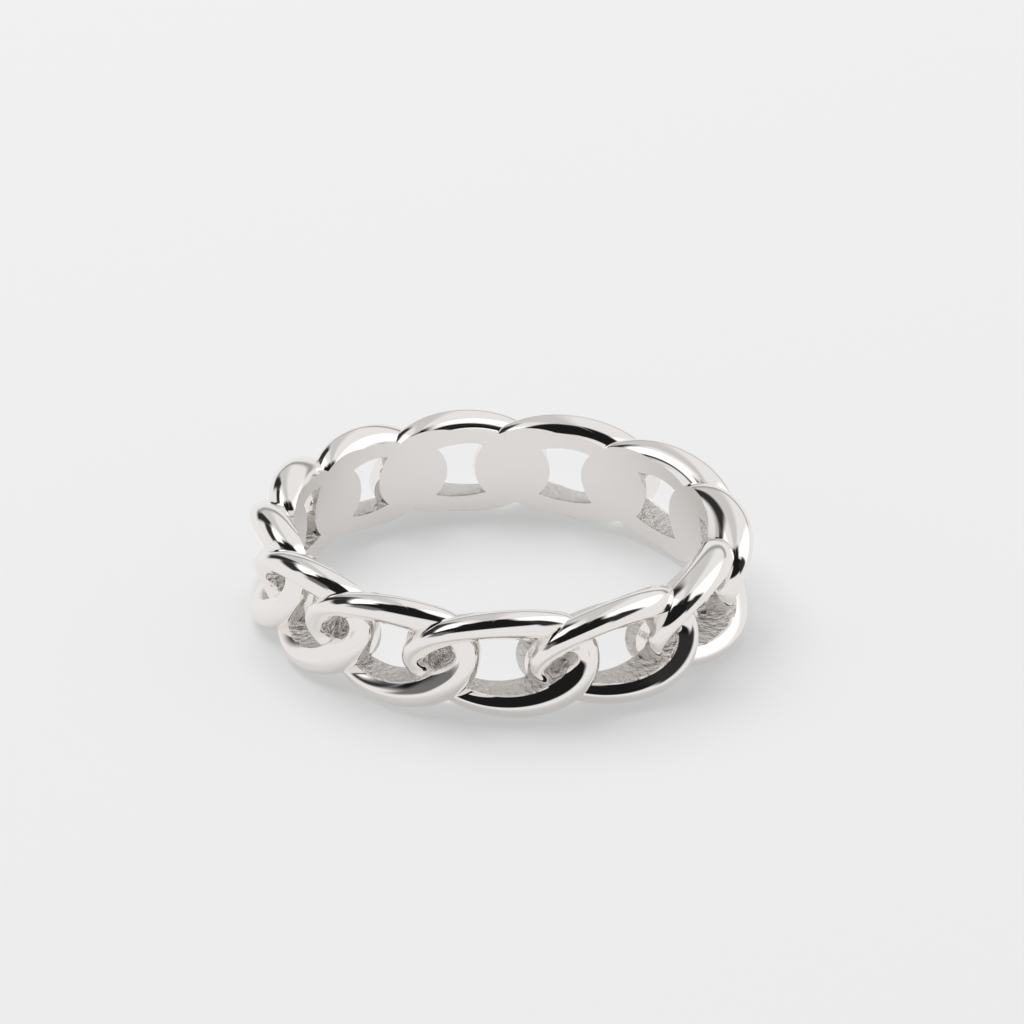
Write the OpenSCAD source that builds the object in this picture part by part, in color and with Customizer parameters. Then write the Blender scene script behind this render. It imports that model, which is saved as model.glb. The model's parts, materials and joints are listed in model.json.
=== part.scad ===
// Curb link band ring, cast in one piece of silver.
// Twisted oval links run round a finger hole. Each link's upper limb passes outside the
// end of the link before it, and its tip dips under that link's lower end. A round web
// closes each crossing on the finger side, and between the webs the band is open right
// through. The finger hole cuts links and webs flush.
// Frame: millimetres, +Z up. The ring lies on its side on the plane z = 0, and its axis
// is the Z axis.

/* [Ring] */
// Diameter of the finger hole
finger_d = 17.5; // [15:0.1:22]
// Thickness of the band, from the finger hole to the outermost metal
wall = 1.95; // [1.7:0.05:2.2]
// Height of the band as the ring lies on a table
band_h = 4.65; // [4.1:0.05:5.4]
// Number of links round the ring
link_count = 12; // [10:1:14]
// Angle of the first link, seen from above
first_link = -114; // [-180:0.5:180]
// Most that a link sits off even spacing, in degrees
drift = 6.2; // [0:0.1:7]
// Side of the ring towards which the links sit off, seen from above
drift_side = 82; // [0:1:180]

/* [Links] */
// Length over which neighbouring links overlap
link_lap = 3.25; // [2.9:0.05:3.8]
// Height of the limb from its crest to the outer rim of the link
rim_h = 0.62; // [0.5:0.01:0.7]
// Height of the limb from its crest to the crease at its window
window_side_h = 0.37; // [0.3:0.01:0.42]
// Extra height of the window side at the link's left end, the hook
hook_h = 0.37; // [0.2:0.01:0.42]
// Extra height of the window side at the link's right end, the lobe
lobe_h = 0.2; // [0.1:0.01:0.24]
// How far the limb's round outside stands out
dome_t = 0.7; // [0.55:0.01:0.8]
// How far the limb's round rim side reaches inwards
back_t = 0.99; // [0.95:0.01:1.15]
// How far the crease at the window stands out
crease_t = 0.33; // [0.2:0.01:0.35]
// How much further in the crease lies at the lobe
lobe_crease_t = 0.2; // [0:0.01:0.25]
// How much higher the ledge below the crease is at the finger side
flare_h = 0.1; // [0.02:0.01:0.14]
// Share by which a limb is thicker at the link's right end and thinner at its left
swell = 0.3; // [0:0.01:0.35]
// How far a limb swings out and in as it crosses its neighbour
twist = 0.38; // [0.3:0.01:0.45]
// How early it swings at the lobe, in degrees round the oval
lead = 22; // [0:1:30]
// How much further the lobe dips under its neighbour
dip = 0.25; // [0:0.01:0.35]

/* [Webs] */
// Diameter of the round web behind each crossing, at the finger hole
web_d = 3.1; // [2.8:0.1:3.6]
// Diameter of the web's outer end, which lies within the links
web_end_d = 2.6; // [2.3:0.1:2.7]
// Thickness of the web at its middle
web_t = 0.6; // [0.4:0.05:0.9]

/* [Hidden] */

finger_r = finger_d / 2;
most_swing = max([for (t = [0 : 2 : 90]) swing(t)]);
crest_r = finger_r + wall - twist * most_swing;
path_r = crest_r - dome_t;
pitch = 2 * PI * path_r / link_count;
half_len = (pitch + link_lap) / 2 - rim_h;
// The rim stands highest a little off the middle of a limb, where the limb is thicker
half_h = sqrt(pow(band_h / 2 - rim_h, 2) - pow(swell * rim_h, 2));

// Rings of the sweep round a link
rings = 36;
// Angles round the section's rim side, and shares of its slope towards the window
rim_turn = [-157.5 : 22.5 : 0];
slope_share = [1 / 3, 2 / 3, 1];
// How much steeper that slope gets on its way to the crease
slope_bend = 1.35;
// How far limbs and webs reach into the finger hole before it is cut
dig = 0.3;
// Smoothness of round cuts
round_fn = 96;
silver = [0.82, 0.82, 0.83];

function unit(v) = v / norm(v);

// 1 at the lobe, 0 at the hook and in between elsewhere
function lobe_share(t) = (1 + cos(t)) / 2;

// Share of the twist by which the centre line lies inwards, t degrees past the lobe
function swing(t) = sin(2 * t);

// How far the centre line lies inwards at t
function sunk(t) =
    let (share = swing(t + lead * lobe_share(t)))
    twist * share + dip * lobe_share(t) * pow(max(0, share), 2);

// Places of the links: even angles, shifted a little towards one side
function placed(a) = a + drift * cos(a - drift_side);

// A point from its even angle, radius and height
function ring_point(a, r, z) =
    let (b = placed(a))
    [r * cos(b), r * sin(b), z];

// Centre line of a link whose middle is at angle a: t runs once round the oval, from the
// link's right end over its top
function limb_path(a, t) =
    ring_point(
        a + half_len * cos(t) / path_r * 180 / PI,
        path_r - sunk(t),
        band_h / 2 + half_h * sin(t)
    );

// The limb's section at t as [towards the window, outwards] pairs, for a limb whose
// finger side lies depth below its middle
function limb_section(t, depth) =
    let (
        k = 1 + swell * cos(t),
        end = pow(cos(t), 2),
        slope_h = k * window_side_h + end * (cos(t) < 0 ? hook_h : lobe_h),
        drop = dome_t - crease_t + end * lobe_share(t) * lobe_crease_t
    )
    [
        for (s = rim_turn) [k * rim_h * sin(s), (cos(s) < 0 ? back_t : dome_t) * cos(s)],
        for (u = slope_share)
            [slope_h * u, dome_t - drop * pow(u, slope_bend)],
        [slope_h + flare_h, -depth],
        [k * rim_h * sin(rim_turn[0]), -depth]
    ];
sides = len(limb_section(0, 1));

// One ring of the sweep, square to the centre line at t
function limb_ring(a, t) =
    let (
        step = 360 / rings,
        p = limb_path(a, t),
        along = unit(limb_path(a, t + step) - limb_path(a, t - step)),
        window = unit(cross([p.x, p.y, 0], along)),
        out = cross(along, window),
        depth = norm([p.x, p.y]) - finger_r + dig
    )
    [for (q = limb_section(t, depth)) p + q.x * window + q.y * out];

// One twisted oval link
module link(a) {
    points = [for (i = [0:rings - 1]) each limb_ring(a, 360 * i / rings)];
    faces = [
        for (i = [0:rings - 1], s = [0:sides - 1])
            let (j = (i + 1) % rings, u = (s + 1) % sides)
            [i * sides + s, i * sides + u, j * sides + u, j * sides + s]
    ];
    polyhedron(points, faces);
}

// Round web on the finger side of the crossing at angle a, narrowing outwards
module web(a) {
    taper = (web_d - web_end_d) / web_t;
    rotate([0, 0, placed(a)])
        translate([finger_r - dig, 0, band_h / 2])
            rotate([0, 90, 0])
                cylinder(
                    d1 = web_d + taper * dig, d2 = web_end_d, h = web_t + dig,
                    $fn = round_fn
                );
}

module finger_hole() {
    translate([0, 0, -dig])
        cylinder(r = finger_r, h = band_h + 2 * dig, $fn = round_fn);
}

module link_band() {
    color(silver)
        difference() {
            union() {
                for (i = [0:link_count - 1]) {
                    link(first_link + i * 360 / link_count);
                    web(first_link + (i + 0.5) * 360 / link_count);
                }
            }
            finger_hole();
        }
}

link_band();
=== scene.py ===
"""A curb link band ring of bright silver, lying on its side on a pale floor."""

import json
import math

import bpy
import numpy as np
from mathutils import Matrix, Vector


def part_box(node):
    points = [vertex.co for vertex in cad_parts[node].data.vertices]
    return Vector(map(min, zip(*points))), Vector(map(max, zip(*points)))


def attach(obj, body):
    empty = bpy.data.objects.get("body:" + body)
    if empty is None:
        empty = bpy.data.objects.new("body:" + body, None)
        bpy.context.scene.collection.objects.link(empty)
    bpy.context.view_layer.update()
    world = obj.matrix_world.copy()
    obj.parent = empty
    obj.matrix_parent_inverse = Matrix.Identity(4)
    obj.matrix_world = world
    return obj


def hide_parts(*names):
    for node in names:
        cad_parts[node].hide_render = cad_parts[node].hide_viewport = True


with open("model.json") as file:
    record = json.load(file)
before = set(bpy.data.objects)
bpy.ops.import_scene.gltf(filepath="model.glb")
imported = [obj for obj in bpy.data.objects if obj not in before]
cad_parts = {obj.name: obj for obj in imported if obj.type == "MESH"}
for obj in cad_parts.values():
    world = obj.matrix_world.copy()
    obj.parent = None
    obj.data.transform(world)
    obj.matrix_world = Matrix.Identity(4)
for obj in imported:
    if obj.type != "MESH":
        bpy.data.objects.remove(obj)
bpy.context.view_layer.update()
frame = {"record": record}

MM = 0.001

# Sizes that the frame gives, in millimetres
bore = next(m for m in frame["record"]["mounts"] if m["name"] == "finger_hole")
low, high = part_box("link_band")
FINGER_R = bore["dims"]["r_mm"]
BAND_H = (high.z - low.z) / MM

# The other sizes of the band, as the frame was built, in millimetres and degrees
WALL = 1.95
LINK_COUNT = 12
FIRST_LINK = -114
DRIFT = 6.2
DRIFT_SIDE = 82
LINK_LAP = 3.25
RIM_H = 0.62
WINDOW_SIDE_H = 0.37
HOOK_H = 0.37
LOBE_H = 0.2
DOME_T = 0.7
BACK_T = 0.99
CREASE_T = 0.33
LOBE_CREASE_T = 0.2
FLARE_H = 0.1
SWELL = 0.3
TWIST = 0.38
LEAD = 22
DIP = 0.25
WEB_D = 3.1
WEB_END_D = 2.6
WEB_T = 0.6
# Half the angle over which a link's direction is taken
TANGENT_STEP = 10

# Fineness of the sweep round a link, and of its section
RINGS = 160
RIM_TURN = np.linspace(-157.5, 0, 36)
SLOPE_SHARE = np.linspace(0, 1, 15)[1:]
LEDGE_SHARE = (0.25, 0.5, 0.75)
# How much steeper the slope towards the window gets on its way to the crease
SLOPE_BEND = 1.35
# How rough that slope is at the crease, where the ledge past it counts as 1
CREASE_CAST = 0.35
# Radius of the soft edge where a limb's side meets the finger side
EDGE_R = 0.07
EDGE_TURN = np.radians(np.linspace(0, 60, 5))
# How far links and webs reach into the finger hole before it is cut
DIG = 0.3
# How much the foot of a limb narrows inside that cut
FOOT_IN = 0.1
# How far the cut runs past the band at both ends
CUT_PAST = 1
ROUND_SIDES = 512
WEB_SIDES = 96
# Edges sharper than this stay sharp, in degrees
SHARP = 28
# How close to the finger hole's radius a point counts as on its wall
WALL_NEAR = 0.002


def cosd(a):
    return np.cos(np.radians(a))


def sind(a):
    return np.sin(np.radians(a))


def unit(v):
    return v / np.linalg.norm(v, axis=-1, keepdims=True)


def lobe_share(t):
    """1 at a link's right end, the lobe, 0 at its left end, the hook, and in between elsewhere."""
    return (1 + cosd(t)) / 2


def sunk(t):
    """How far a link's centre line lies inwards at angle t round the oval."""
    share = sind(2 * (t + LEAD * lobe_share(t)))
    return TWIST * share + DIP * lobe_share(t) * np.maximum(0, share) ** 2


PATH_R = FINGER_R + WALL - TWIST - DOME_T
PITCH = 2 * math.pi * PATH_R / LINK_COUNT
HALF_LEN = (PITCH + LINK_LAP) / 2 - RIM_H
HALF_H = math.sqrt((BAND_H / 2 - RIM_H) ** 2 - (SWELL * RIM_H) ** 2)


def placed(a):
    """Places of the links: even angles, shifted a little towards one side."""
    return a + DRIFT * cosd(a - DRIFT_SIDE)


def ring_points(a, r, z):
    """Points from their even angles, radii and heights."""
    b = placed(a)
    return np.stack([r * cosd(b), r * sind(b), z], -1)


def limb_path(a, t):
    """Centre line of the link whose middle is at angle a, for angles t round the oval."""
    return ring_points(
        a + np.degrees(HALF_LEN * cosd(t) / PATH_R),
        PATH_R - sunk(t),
        BAND_H / 2 + HALF_H * sind(t),
    )


def rim_out(s):
    """How far the limb's rim side stands out at angle s of its section."""
    return (DOME_T if cosd(s) > 0 else BACK_T) * cosd(s)


def between(start, end):
    """The ledge's points on the straight way from start to end."""
    return [tuple(a + (b - a) * share for a, b in zip(start, end)) for share in LEDGE_SHARE]


def limb_section(t, depth):
    """The limb's section, from its rim side over the round outside to the crease and the ledge.

    Gives the distances towards the window and outwards, and how far each point lies past
    the edge of the polish, for limbs at angles t whose finger side lies depth below.
    """
    k = 1 + SWELL * cosd(t)
    end = cosd(t) ** 2
    slope_h = k * WINDOW_SIDE_H + end * np.where(cosd(t) < 0, HOOK_H, LOBE_H)
    drop = DOME_T - CREASE_T + end * lobe_share(t) * LOBE_CREASE_T
    foot_h = slope_h + FLARE_H
    rise = EDGE_R * (math.sin(EDGE_TURN[-1]) - np.sin(EDGE_TURN))
    inset = EDGE_R * (1 - np.cos(EDGE_TURN))
    rim = [(k * RIM_H * sind(s), np.full_like(k, rim_out(s))) for s in RIM_TURN]
    slope = [(slope_h * u, DOME_T - drop * u ** SLOPE_BEND) for u in SLOPE_SHARE]
    window_edge = [(foot_h - i, r - depth) for i, r in zip(inset, rise)]
    foot = [(foot_h - FOOT_IN, -depth - DIG), (k * RIM_H * sind(RIM_TURN[0]), -depth - DIG)]
    ledge = between(slope[-1], window_edge[0])
    points = rim + slope + ledge + window_edge + foot
    cast = np.array(
        [0.0] * len(rim)
        + [CREASE_CAST * u for u in SLOPE_SHARE]
        + [1.0] * (len(ledge) + len(window_edge))
        + [0.0] * len(foot)
    )
    return np.stack([np.stack(p, -1) for p in points], 1), cast


def numbers(items, field, width=1, kind=np.float32):
    """A field of all the items as an array, in rows of the given width where it is over 1."""
    values = np.zeros(len(items) * width, kind)
    items.foreach_get(field, values)
    return values.reshape(-1, width) if width > 1 else values


def keep_on_corners(mesh, name, kind, values):
    """Keeps values, one for each face corner, with the mesh."""
    field = "vector" if kind == "FLOAT_VECTOR" else "value"
    layer = mesh.attributes.new(name, kind, "CORNER").data
    layer.foreach_set(field, values.astype(np.float32))


def masked(mesh, cast):
    """Keeps the mesh's smooth normals, and its points' shares of cast skin, on the face corners."""
    mesh.shade_smooth()
    mesh.set_sharp_from_angle(angle=math.radians(SHARP))
    normals = numbers(mesh.corner_normals, "vector", 3)
    keep_on_corners(mesh, "smooth_normal", "FLOAT_VECTOR", normals.ravel())
    corner = numbers(mesh.loops, "vertex_index", kind=np.int32)
    keep_on_corners(mesh, "cast", "FLOAT", cast[corner])
    return mesh


def tube_mesh(name, points, cast):
    """A closed tube from a grid of points, rings by sides."""
    rings, sides = points.shape[:2]
    i, s = np.meshgrid(np.arange(rings), np.arange(sides), indexing="ij")
    j, u = (i + 1) % rings, (s + 1) % sides
    quads = np.stack([i * sides + s, j * sides + s, j * sides + u, i * sides + u], -1)
    mesh = bpy.data.meshes.new(name)
    mesh.from_pydata((points.reshape(-1, 3) * MM).tolist(), [], quads.reshape(-1, 4).tolist())
    return masked(mesh, np.tile(cast, rings))


def link_mesh(a):
    """One twisted oval link, its middle at angle a."""
    t = np.linspace(0, 360, RINGS, endpoint=False)
    p = limb_path(a, t)
    along = unit(limb_path(a, t + TANGENT_STEP) - limb_path(a, t - TANGENT_STEP))
    window = unit(np.cross(p * [1, 1, 0], along))
    out = np.cross(along, window)
    section, cast = limb_section(t, np.hypot(p[:, 0], p[:, 1]) - FINGER_R)
    points = p[:, None] + section[..., :1] * window[:, None] + section[..., 1:] * out[:, None]
    return tube_mesh("link", points, cast)


def turned_mesh(name, start, end, sides, place):
    """A cone or cylinder between two (radius, height) pairs, with flat ends, as rough as cast.

    It is turned about the Z axis, and place then moves it.
    """
    angles = np.linspace(0, 2 * math.pi, sides, endpoint=False)
    rows = [
        np.stack([r * np.cos(angles), r * np.sin(angles), np.full(sides, z)], -1)
        for r, z in (start, end)
    ]
    points = np.concatenate(rows + [[(0, 0, start[1])], [(0, 0, end[1])]])
    first, last = 2 * sides, 2 * sides + 1
    faces = []
    for s in range(sides):
        u = (s + 1) % sides
        faces.append([first, u, s])
        faces.append([s, u, sides + u, sides + s])
        faces.append([last, sides + s, sides + u])
    mesh = bpy.data.meshes.new(name)
    mesh.from_pydata((points * MM).tolist(), [], faces)
    mesh.transform(place)
    return masked(mesh, np.ones(len(points)))


def web_mesh(a):
    """The round web on the finger side of the crossing at angle a, narrowing outwards."""
    taper = (WEB_D - WEB_END_D) / WEB_T / 2
    place = (
        Matrix.Translation((0, 0, BAND_H / 2 * MM))
        @ Matrix.Rotation(math.radians(placed(a)), 4, "Z")
        @ Matrix.Rotation(math.radians(90), 4, "Y")
    )
    start = (WEB_D / 2 + taper * DIG, FINGER_R - DIG)
    end = (WEB_END_D / 2, FINGER_R + WEB_T)
    return turned_mesh("web", start, end, WEB_SIDES, place)


def finger_mesh():
    """The cylinder that cuts the finger hole."""
    start, end = (FINGER_R, -CUT_PAST), (FINGER_R, BAND_H + CUT_PAST)
    return turned_mesh("finger", start, end, ROUND_SIDES, Matrix.Identity(4))


def add(name, data):
    """A new object in the scene."""
    obj = bpy.data.objects.new(name, data)
    bpy.context.scene.collection.objects.link(obj)
    return obj


def combined(base, operation, others):
    """The base object joined with, or cut by, the other objects, as a new mesh. The objects go."""
    for other in others:
        step = base.modifiers.new(operation, "BOOLEAN")
        step.solver = "MANIFOLD"
        step.operation = operation
        step.object = other
    shaped = base.evaluated_get(bpy.context.evaluated_depsgraph_get())
    mesh = bpy.data.meshes.new_from_object(shaped)
    for obj in [base, *others]:
        bpy.data.objects.remove(obj)
    return mesh


def finish_normals(mesh):
    """Gives every face corner the smooth normal of the surface it was cut from, and marks the
    finger side, whose normals point at the axis."""
    corner = numbers(mesh.loops, "vertex_index", kind=np.int32)
    places = numbers(mesh.vertices, "co", 3)[corner]
    normals = numbers(mesh.attributes["smooth_normal"].data, "vector", 3)
    sizes = numbers(mesh.polygons, "loop_total", kind=np.int32)
    face = np.repeat(np.arange(len(sizes)), sizes)
    radius = np.hypot(places[:, 0], places[:, 1])
    on_wall = np.ones(len(sizes), bool)
    np.logical_and.at(on_wall, face, np.abs(radius - FINGER_R * MM) < WALL_NEAR * MM)
    satin = on_wall[face]
    inward = -unit(places * [1, 1, 0])
    normals = np.where(satin[:, None], inward, unit(normals))
    mesh.shade_smooth()
    mesh.normals_split_custom_set(normals.tolist())
    keep_on_corners(mesh, "satin", "FLOAT", satin)
    mesh.attributes.remove(mesh.attributes["smooth_normal"])


def link_band():
    """The whole ring: links and webs joined, and cut flush by the finger hole."""
    even = [FIRST_LINK + i * 360 / LINK_COUNT for i in range(LINK_COUNT)]
    parts = [add("link", link_mesh(a)) for a in even]
    parts += [add("web", web_mesh(a + 180 / LINK_COUNT)) for a in even]
    whole = add("whole", combined(parts[0], "UNION", parts[1:]))
    mesh = combined(whole, "DIFFERENCE", [add("finger", finger_mesh())])
    finish_normals(mesh)
    return add("silver_link_band", mesh)


def set_inputs(tree, node, sources):
    """Links each named or numbered input of a node to its source, or sets it to a value."""
    for socket, source in sources.items():
        if isinstance(source, bpy.types.NodeSocket):
            tree.links.new(source, node.inputs[socket])
        else:
            node.inputs[socket].default_value = source


def math_node(tree, operation, *sources):
    made = tree.nodes.new("ShaderNodeMath")
    made.operation = operation
    set_inputs(tree, made, dict(enumerate(sources)))
    return made.outputs[0]


def smooth_step(tree, *sources):
    """From a source, its start and end, and the values below and past them, a smooth step."""
    made = tree.nodes.new("ShaderNodeMapRange")
    made.interpolation_type = "SMOOTHSTEP"
    set_inputs(tree, made, dict(enumerate(sources)))
    return made.outputs[0]


# The silver's colour, and the roughness of its polish, its satin side and its cast skin
SILVER = (0.925, 0.895, 0.87, 1)
POLISH_ROUGH = 0.035
SATIN_ROUGH = 0.38
CAST_ROUGH = 0.14
# Where the polish ends on the way to the cast skin, as a span of the mask, and how raggedly
POLISH_ENDS = (0.52, 0.58)
RAGGED = 0.5
# Scale and detail of the noise that frays the polish's end, and of the cast skin's bumps
FRAY_NOISE = (5000, 4)
SKIN_NOISE = (3600, 6)
# Height of those bumps in metres
SKIN_DEPTH = 0.0007


def silver():
    """Bright silver: polished outside, satin on the finger side, rough as cast in the recesses."""
    material = bpy.data.materials.new("silver")
    material.use_nodes = True
    tree = material.node_tree
    place = tree.nodes.new("ShaderNodeTexCoord").outputs["Object"]

    def mask(name):
        made = tree.nodes.new("ShaderNodeAttribute")
        made.attribute_name = name
        return made.outputs["Fac"]

    def noise(scale, detail):
        made = tree.nodes.new("ShaderNodeTexNoise")
        set_inputs(tree, made, {"Vector": place, "Scale": scale, "Detail": detail})
        return made.outputs["Fac"]

    satin = mask("satin")
    fray = math_node(tree, "SUBTRACT", noise(*FRAY_NOISE), 0.5)
    ragged = math_node(tree, "ADD", mask("cast"), math_node(tree, "MULTIPLY", fray, RAGGED))
    recess = smooth_step(tree, ragged, *POLISH_ENDS, 0.0, 1.0)
    cast = math_node(tree, "MULTIPLY", recess, math_node(tree, "SUBTRACT", 1.0, satin))
    polish = smooth_step(tree, satin, 0.0, 1.0, POLISH_ROUGH, SATIN_ROUGH)
    bumps = tree.nodes.new("ShaderNodeBump")
    set_inputs(tree, bumps, {
        "Strength": 1.0,
        "Distance": SKIN_DEPTH,
        "Height": math_node(tree, "MULTIPLY", noise(*SKIN_NOISE), cast),
    })
    set_inputs(tree, tree.nodes["Principled BSDF"], {
        "Base Color": SILVER,
        "Metallic": 1,
        "Roughness": smooth_step(tree, cast, 0.0, 1.0, polish, CAST_ROUGH),
        "Normal": bumps.outputs[0],
    })
    return material


# The floor: half its side in metres, the share of light that it gives back, and its own light
FLOOR_HALF = 2.0
FLOOR_GREY = 0.34
FLOOR_GLOW = 0.4


def floor():
    """The plain pale floor, partly lit from within as a light table is."""
    mesh = bpy.data.meshes.new("floor")
    corners = [(x * FLOOR_HALF, y * FLOOR_HALF, 0) for x, y in ((-1, -1), (1, -1), (1, 1), (-1, 1))]
    mesh.from_pydata(corners, [], [(0, 1, 2, 3)])
    obj = add("floor", mesh)
    material = bpy.data.materials.new("pale_floor")
    material.use_nodes = True
    set_inputs(material.node_tree, material.node_tree.nodes["Principled BSDF"], {
        "Base Color": (FLOOR_GREY, FLOOR_GREY, FLOOR_GREY, 1),
        "Emission Color": (1, 1, 1, 1),
        "Emission Strength": FLOOR_GLOW,
        "Roughness": 0.9,
        "Specular IOR Level": 0.0,
    })
    mesh.materials.append(material)


# The studio round the ring by direction: its plain tent, and the cards and panels before it, as middle
# azimuth, middle elevation, half width, half height, softness and brightness. Azimuth 0 is towards the
# camera and 90 to its right, in degrees.
TENT = 0.85
CARDS = [
    (-20, 90, 105, 50, 4, 0.012),
    (-92, 70, 32, 22, 5, 0.012),
    (0, 90, 180, 17, 4, 0.012),
    (-62, 40, 18, 10, 6, 0.17),
    (-120, 55, 24, 11, 4, 1.4),
    (-148, 26, 11, 17, 5, 0.03),
    (-118, 37, 22, 9, 4, 0.03),
    (80, 44, 20, 16, 5, 0.03),
    (121, 48, 24, 26, 5, 1.25),
    (-170, 45, 10, 30, 5, 0.62),
    (176, 14, 30, 3, 3, 0.35),
]


def sky(tree):
    """Fills the world with the tent and the cards, each laid over those before it."""

    def within(way, half, soft):
        """1 near a card's middle and 0 past its edge, by the way from its middle."""
        away = math_node(tree, "ABSOLUTE", way)
        return smooth_step(tree, away, half - soft, half + soft, 1.0, 0.0)

    direction = tree.nodes.new("ShaderNodeSeparateXYZ")
    tree.links.new(tree.nodes.new("ShaderNodeTexCoord").outputs["Generated"], direction.inputs[0])
    x, y, z = direction.outputs
    towards_camera = math_node(tree, "MULTIPLY", y, -1.0)
    azimuth = math_node(tree, "DEGREES", math_node(tree, "ARCTAN2", x, towards_camera))
    elevation = math_node(tree, "DEGREES", math_node(tree, "ARCSINE", z))
    brightness = TENT
    for middle, height, wide, tall, soft, value in CARDS:
        turned = math_node(tree, "SUBTRACT", azimuth, middle)
        across = within(math_node(tree, "WRAP", turned, 180.0, -180.0), wide, soft)
        upwards = within(math_node(tree, "SUBTRACT", elevation, height), tall, soft)
        share = math_node(tree, "MULTIPLY", across, upwards)
        difference = math_node(tree, "SUBTRACT", value, brightness)
        change = math_node(tree, "MULTIPLY", share, difference)
        brightness = math_node(tree, "ADD", brightness, change)
    tree.links.new(brightness, tree.nodes["Background"].inputs["Color"])


# The square lamp that casts the soft shadow: its place and side in metres, and its power in watts
KEY_AT = (-0.25, 0.4, 0.8)
KEY_SIDE = 0.9
KEY_POWER = 10.4


def lighting():
    """The studio's world, and its lamp, which doesn't show in the silver."""
    world = bpy.data.worlds.new("studio")
    bpy.context.scene.world = world
    world.use_nodes = True
    sky(world.node_tree)
    lamp = bpy.data.lights.new("key", "AREA")
    lamp.shape = "RECTANGLE"
    lamp.size = KEY_SIDE
    lamp.size_y = KEY_SIDE
    lamp.energy = KEY_POWER
    key = add("key", lamp)
    key.location = KEY_AT
    key.rotation_euler = Vector(KEY_AT).to_track_quat("Z", "Y").to_euler()
    key.visible_glossy = False


# The camera, fitted to the photograph: tilt and roll in degrees, distance in millimetres, the place
# of the ring's own origin in the picture, and the picture's scale there in pixels per millimetre
PICTURE = 1024
TILT = 26.2
ROLL = 1.45
DISTANCE = 400
ORIGIN_AT = (498.95, 608.3)
SCALE = 23.6
SENSOR = 36
# Nearest and furthest that it sees, in metres
SEES = (0.01, 10)


def camera():
    """The camera, turned and moved so that the ring's origin lies at its place in the picture."""
    forward = Vector((0, cosd(TILT), -sind(TILT)))
    level_right = Vector((1, 0, 0))
    level_up = level_right.cross(forward)
    right = level_right * cosd(ROLL) + level_up * sind(ROLL)
    up = right.cross(forward)
    across = (ORIGIN_AT[0] - PICTURE / 2) / SCALE
    upwards = (PICTURE / 2 - ORIGIN_AT[1]) / SCALE
    place = -(right * across + up * upwards + forward * DISTANCE) * MM
    lens = bpy.data.cameras.new("camera")
    lens.sensor_width = SENSOR
    lens.lens = SCALE * DISTANCE / PICTURE * SENSOR
    lens.clip_start, lens.clip_end = SEES
    obj = add("camera", lens)
    turn = Matrix((right, up, -forward)).transposed().to_4x4()
    obj.matrix_world = Matrix.Translation(place) @ turn
    bpy.context.scene.camera = obj


camera()
bpy.context.scene.view_settings.view_transform = "Standard"
band = link_band()
band.data.materials.clear()
band.data.materials.append(silver())
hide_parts("link_band")
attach(band, "root")
floor()
lighting()
